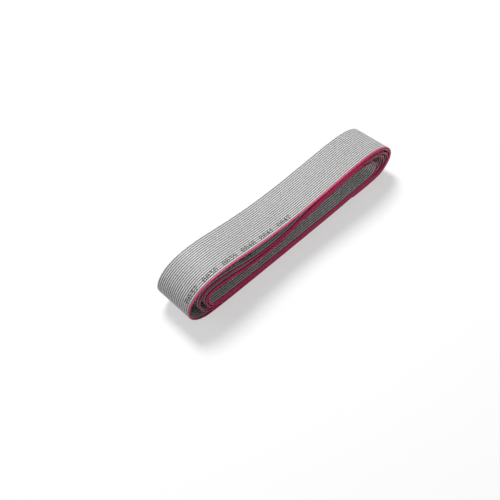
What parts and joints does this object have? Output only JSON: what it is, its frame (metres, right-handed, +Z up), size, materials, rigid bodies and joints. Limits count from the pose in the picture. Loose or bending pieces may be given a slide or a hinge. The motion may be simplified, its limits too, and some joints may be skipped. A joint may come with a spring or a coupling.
{
  "type": "ribbon cable",
  "caption": "Grey flat ribbon cable with a red edge wire, wound into a long flattened hank with open end loops and two cut ends.",
  "frame": {"origin": "centre of the hank's footprint on the surface that it lies on", "axes": "+X along the hank, +Y across the ribbon's width away from the red edge, +Z up"},
  "size_m": [0.17, 0.025, 0.0285],
  "materials": {
    "grey_pvc": "satin",
    "red_pvc": "satin",
    "tinned_copper": "satin"
  },
  "bodies": {
    "root": {"red_edge_jacket": "red_pvc", "grey_jacket_02": "grey_pvc", "grey_jacket_03": "grey_pvc", "grey_jacket_04": "grey_pvc", "grey_jacket_05": "grey_pvc", "grey_jacket_06": "grey_pvc", "grey_jacket_07": "grey_pvc", "grey_jacket_08": "grey_pvc", "grey_jacket_09": "grey_pvc", "grey_jacket_10": "grey_pvc", "grey_jacket_11": "grey_pvc", "grey_jacket_12": "grey_pvc", "grey_jacket_13": "grey_pvc", "grey_jacket_14": "grey_pvc", "grey_jacket_15": "grey_pvc", "grey_jacket_16": "grey_pvc", "grey_jacket_17": "grey_pvc", "grey_jacket_18": "grey_pvc", "grey_jacket_19": "grey_pvc", "grey_jacket_20": "grey_pvc", "conductor_01": "tinned_copper", "conductor_02": "tinned_copper", "conductor_03": "tinned_copper", "conductor_04": "tinned_copper", "conductor_05": "tinned_copper", "conductor_06": "tinned_copper", "conductor_07": "tinned_copper", "conductor_08": "tinned_copper", "conductor_09": "tinned_copper", "conductor_10": "tinned_copper", "conductor_11": "tinned_copper", "conductor_12": "tinned_copper", "conductor_13": "tinned_copper", "conductor_14": "tinned_copper", "conductor_15": "tinned_copper", "conductor_16": "tinned_copper", "conductor_17": "tinned_copper", "conductor_18": "tinned_copper", "conductor_19": "tinned_copper", "conductor_20": "tinned_copper"}
  },
  "joints": []
}
